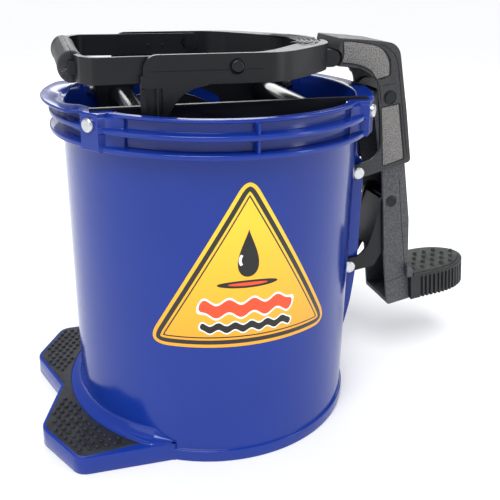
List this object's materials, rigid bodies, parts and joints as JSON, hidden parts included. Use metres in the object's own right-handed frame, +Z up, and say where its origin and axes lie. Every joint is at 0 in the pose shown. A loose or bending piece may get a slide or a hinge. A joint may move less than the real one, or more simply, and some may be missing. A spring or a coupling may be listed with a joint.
{
  "type": "pedal wringer bucket",
  "caption": "Round utility bucket with a foot plate, carry bail and a pedal-operated roller wringer: pressing the pedal draws a yoke and roller across to squeeze a mop.",
  "frame": {"origin": "the bucket's axis where it meets the floor, on the flat underside", "axes": "+Z up along the bucket's axis, +X towards the pedal, the object is mirrored in the XZ plane"},
  "size_m": [0.4677, 0.2972, 0.3566],
  "materials": {
    "blue_polypropylene": "glossy moulded polypropylene",
    "black_rubber": "matt moulded rubber",
    "label_vinyl": "printed vinyl label",
    "black_plastic": "satin moulded plastic",
    "textured_plastic": "fine moulded texture",
    "roller_plastic": "polished roller tube",
    "zinc_steel": "bright zinc plating",
    "spring_steel": "oiled spring wire",
    "black_fastener": "black coated steel",
    "white_nylon": "natural nylon"
  },
  "bodies": {
    "bucket": {"bucket_body": "blue_polypropylene", "anti_slip_pad": "black_rubber", "safety_label": "label_vinyl", "side_plate_front": "black_plastic", "side_plate_back": "black_plastic", "plate_bolts": "zinc_steel", "plate_nuts": "zinc_steel", "fixed_roller_axle": "zinc_steel", "fixed_axle_nuts": "zinc_steel", "lever_pivot_bolt": "zinc_steel", "lever_pivot_nut": "zinc_steel", "lever_pivot_spacers": "black_plastic", "lever_return_spring": "spring_steel", "link_pivot_bolt": "zinc_steel", "link_pivot_nut": "zinc_steel"},
    "fixed_roller": {"fixed_roller_tube": "roller_plastic", "fixed_roller_plugs": "black_plastic"},
    "lever": {"lever_casing": "textured_plastic", "leg_pivot_pin": "black_fastener", "leg_pivot_clip": "black_fastener"},
    "pedal_arm": {"pedal_leg": "textured_plastic", "pedal_block": "black_plastic", "pedal_tread": "black_rubber", "pedal_screws": "zinc_steel", "link_end_pin": "black_fastener"},
    "lower_link": {"lower_link": "black_plastic", "link_bushes": "white_nylon"},
    "yoke": {"yoke_ring": "black_plastic", "yoke_hinge_pin": "zinc_steel", "moving_roller_axle": "zinc_steel", "moving_axle_clips": "zinc_steel", "bail_pivot_bolts": "black_fastener", "bail_pivot_nuts": "zinc_steel"},
    "moving_roller": {"moving_roller_tube": "roller_plastic", "moving_roller_plugs": "black_plastic"},
    "bail": {"bail_frame": "black_plastic", "bail_grip_outer": "textured_plastic", "bail_grip_inner": "textured_plastic"}
  },
  "joints": [
    {"name": "lever_hinge", "type": "hinge", "parent": "bucket", "child": "lever", "pos_m": [0.142, 0, 0.225], "axis": [0, 1, 0], "range_deg": [0, 52], "stiffness_Nm_per_rad": 0.6, "springref_deg": -51.57},
    {"name": "leg_hinge", "type": "hinge", "parent": "lever", "child": "pedal_arm", "pos_m": [0.172, 0, 0.299], "axis": [0, 1, 0], "range_deg": [-47, 0.5]},
    {"name": "link_hinge", "type": "hinge", "parent": "bucket", "child": "lower_link", "pos_m": [0.142, 0, 0.121], "axis": [0, 1, 0], "range_deg": [-0.5, 47]},
    {"name": "yoke_hinge", "type": "hinge", "parent": "lever", "child": "yoke", "pos_m": [0.1095, 0, 0.338], "axis": [0, 1, 0], "range_deg": [-50, 0.5]},
    {"name": "moving_roller_spin", "type": "hinge", "parent": "yoke", "child": "moving_roller", "pos_m": [-0.075, 0, 0.292], "axis": [0, 1, 0], "continuous": true},
    {"name": "fixed_roller_spin", "type": "hinge", "parent": "bucket", "child": "fixed_roller", "pos_m": [0.077, 0, 0.292], "axis": [0, 1, 0], "continuous": true},
    {"name": "bail_hinge", "type": "hinge", "parent": "yoke", "child": "bail", "pos_m": [-0.0035, 0, 0.3436], "axis": [0, 1, 0], "range_deg": [0, 100]}
  ],
  "couplings": [
    {"joint": "leg_hinge", "follows": "lever_hinge", "ratio": -0.8893},
    {"joint": "link_hinge", "follows": "lever_hinge", "ratio": 0.8844},
    {"joint": "yoke_hinge", "follows": "lever_hinge", "ratio": -0.95}
  ]
}
